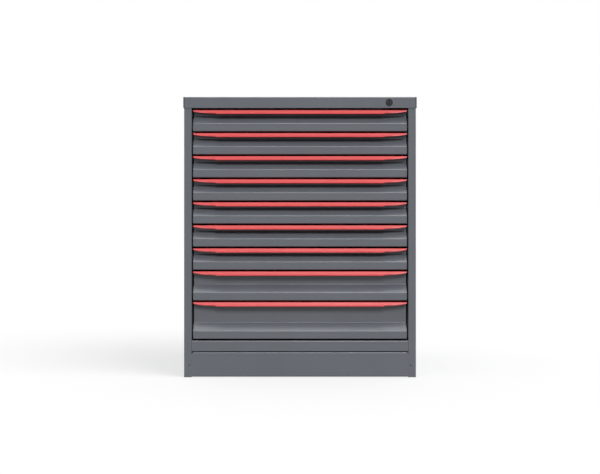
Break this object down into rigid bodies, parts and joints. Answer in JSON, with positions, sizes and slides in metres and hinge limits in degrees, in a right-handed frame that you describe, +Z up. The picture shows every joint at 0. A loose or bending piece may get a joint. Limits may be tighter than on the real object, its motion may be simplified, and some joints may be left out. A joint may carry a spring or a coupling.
{
  "type": "drawer tool cabinet",
  "caption": "Steel tool cabinet on a plinth: full-width drawers on telescopic slides with red lip handles, under a flat cap with one central lock.",
  "frame": {"origin": "on the floor, at the middle of the whole part's width and depth", "axes": "+Z up, drawers open towards -Y, +X to the right seen from the front"},
  "size_m": [0.7584, 0.709, 0.911],
  "materials": {
    "grey_steel": "blue-grey powder coat, satin with a fine texture",
    "red_handle": "red powder coat, satin",
    "zinc_steel": "zinc plated",
    "black_lock": "black",
    "dark_plug": "dark nickel"
  },
  "bodies": {
    "housing": {"left_side_panel": "grey_steel", "right_side_panel": "grey_steel", "back_panel": "grey_steel", "top_cap": "grey_steel", "bottom_pan": "grey_steel", "front_bottom_rail": "grey_steel", "plinth_panel": "grey_steel", "plinth_frame": "grey_steel", "foot_plates": "grey_steel", "cabinet_rails": "zinc_steel", "lock_housing": "black_lock", "housing_screws": "grey_steel"},
    "lock_cylinder": {"lock_plug": "dark_plug", "lock_cam": "zinc_steel"},
    "lock_bar_body": {"lock_bar": "black_lock"},
    "drawer_1": {"drawer_1_box": "grey_steel", "drawer_1_front": "grey_steel", "drawer_1_handle": "red_handle", "drawer_1_runners": "zinc_steel"},
    "drawer_1_middle": {"drawer_1_mid_rails": "zinc_steel"},
    "drawer_2": {"drawer_2_box": "grey_steel", "drawer_2_front": "grey_steel", "drawer_2_handle": "red_handle", "drawer_2_runners": "zinc_steel"},
    "drawer_2_middle": {"drawer_2_mid_rails": "zinc_steel"},
    "drawer_3": {"drawer_3_box": "grey_steel", "drawer_3_front": "grey_steel", "drawer_3_handle": "red_handle", "drawer_3_runners": "zinc_steel"},
    "drawer_3_middle": {"drawer_3_mid_rails": "zinc_steel"},
    "drawer_4": {"drawer_4_box": "grey_steel", "drawer_4_front": "grey_steel", "drawer_4_handle": "red_handle", "drawer_4_runners": "zinc_steel"},
    "drawer_4_middle": {"drawer_4_mid_rails": "zinc_steel"},
    "drawer_5": {"drawer_5_box": "grey_steel", "drawer_5_front": "grey_steel", "drawer_5_handle": "red_handle", "drawer_5_runners": "zinc_steel"},
    "drawer_5_middle": {"drawer_5_mid_rails": "zinc_steel"},
    "drawer_6": {"drawer_6_box": "grey_steel", "drawer_6_front": "grey_steel", "drawer_6_handle": "red_handle", "drawer_6_runners": "zinc_steel"},
    "drawer_6_middle": {"drawer_6_mid_rails": "zinc_steel"},
    "drawer_7": {"drawer_7_box": "grey_steel", "drawer_7_front": "grey_steel", "drawer_7_handle": "red_handle", "drawer_7_runners": "zinc_steel"},
    "drawer_7_middle": {"drawer_7_mid_rails": "zinc_steel"},
    "drawer_8": {"drawer_8_box": "grey_steel", "drawer_8_front": "grey_steel", "drawer_8_handle": "red_handle", "drawer_8_runners": "zinc_steel"},
    "drawer_8_middle": {"drawer_8_mid_rails": "zinc_steel"},
    "drawer_9": {"drawer_9_box": "grey_steel", "drawer_9_front": "grey_steel", "drawer_9_handle": "red_handle", "drawer_9_runners": "zinc_steel"},
    "drawer_9_middle": {"drawer_9_mid_rails": "zinc_steel"}
  },
  "joints": [
    {"name": "drawer_1_slide", "type": "slide", "parent": "housing", "child": "drawer_1", "axis": [0, -1, 0], "range_m": [0, 0.6]},
    {"name": "drawer_1_middle_slide", "type": "slide", "parent": "housing", "child": "drawer_1_middle", "axis": [0, -1, 0], "range_m": [0, 0.3]},
    {"name": "drawer_2_slide", "type": "slide", "parent": "housing", "child": "drawer_2", "axis": [0, -1, 0], "range_m": [0, 0.6]},
    {"name": "drawer_2_middle_slide", "type": "slide", "parent": "housing", "child": "drawer_2_middle", "axis": [0, -1, 0], "range_m": [0, 0.3]},
    {"name": "drawer_3_slide", "type": "slide", "parent": "housing", "child": "drawer_3", "axis": [0, -1, 0], "range_m": [0, 0.6]},
    {"name": "drawer_3_middle_slide", "type": "slide", "parent": "housing", "child": "drawer_3_middle", "axis": [0, -1, 0], "range_m": [0, 0.3]},
    {"name": "drawer_4_slide", "type": "slide", "parent": "housing", "child": "drawer_4", "axis": [0, -1, 0], "range_m": [0, 0.6]},
    {"name": "drawer_4_middle_slide", "type": "slide", "parent": "housing", "child": "drawer_4_middle", "axis": [0, -1, 0], "range_m": [0, 0.3]},
    {"name": "drawer_5_slide", "type": "slide", "parent": "housing", "child": "drawer_5", "axis": [0, -1, 0], "range_m": [0, 0.6]},
    {"name": "drawer_5_middle_slide", "type": "slide", "parent": "housing", "child": "drawer_5_middle", "axis": [0, -1, 0], "range_m": [0, 0.3]},
    {"name": "drawer_6_slide", "type": "slide", "parent": "housing", "child": "drawer_6", "axis": [0, -1, 0], "range_m": [0, 0.6]},
    {"name": "drawer_6_middle_slide", "type": "slide", "parent": "housing", "child": "drawer_6_middle", "axis": [0, -1, 0], "range_m": [0, 0.3]},
    {"name": "drawer_7_slide", "type": "slide", "parent": "housing", "child": "drawer_7", "axis": [0, -1, 0], "range_m": [0, 0.6]},
    {"name": "drawer_7_middle_slide", "type": "slide", "parent": "housing", "child": "drawer_7_middle", "axis": [0, -1, 0], "range_m": [0, 0.3]},
    {"name": "drawer_8_slide", "type": "slide", "parent": "housing", "child": "drawer_8", "axis": [0, -1, 0], "range_m": [0, 0.6]},
    {"name": "drawer_8_middle_slide", "type": "slide", "parent": "housing", "child": "drawer_8_middle", "axis": [0, -1, 0], "range_m": [0, 0.3]},
    {"name": "drawer_9_slide", "type": "slide", "parent": "housing", "child": "drawer_9", "axis": [0, -1, 0], "range_m": [0, 0.6]},
    {"name": "drawer_9_middle_slide", "type": "slide", "parent": "housing", "child": "drawer_9_middle", "axis": [0, -1, 0], "range_m": [0, 0.3]},
    {"name": "lock_bar_slide", "type": "slide", "parent": "housing", "child": "lock_bar_body", "axis": [0, 0, 1], "range_m": [0, 0.009]},
    {"name": "lock_turn", "type": "hinge", "parent": "housing", "child": "lock_cylinder", "pos_m": [0.2897, -0.3503, 0.893], "axis": [0, -1, 0], "range_deg": [0, 90]}
  ],
  "couplings": [
    {"joint": "drawer_1_middle_slide", "follows": "drawer_1_slide", "ratio": 0.5},
    {"joint": "drawer_2_middle_slide", "follows": "drawer_2_slide", "ratio": 0.5},
    {"joint": "drawer_3_middle_slide", "follows": "drawer_3_slide", "ratio": 0.5},
    {"joint": "drawer_4_middle_slide", "follows": "drawer_4_slide", "ratio": 0.5},
    {"joint": "drawer_5_middle_slide", "follows": "drawer_5_slide", "ratio": 0.5},
    {"joint": "drawer_6_middle_slide", "follows": "drawer_6_slide", "ratio": 0.5},
    {"joint": "drawer_7_middle_slide", "follows": "drawer_7_slide", "ratio": 0.5},
    {"joint": "drawer_8_middle_slide", "follows": "drawer_8_slide", "ratio": 0.5},
    {"joint": "drawer_9_middle_slide", "follows": "drawer_9_slide", "ratio": 0.5},
    {"joint": "lock_turn", "follows": "lock_bar_slide", "rad_per_m": 174.53}
  ]
}
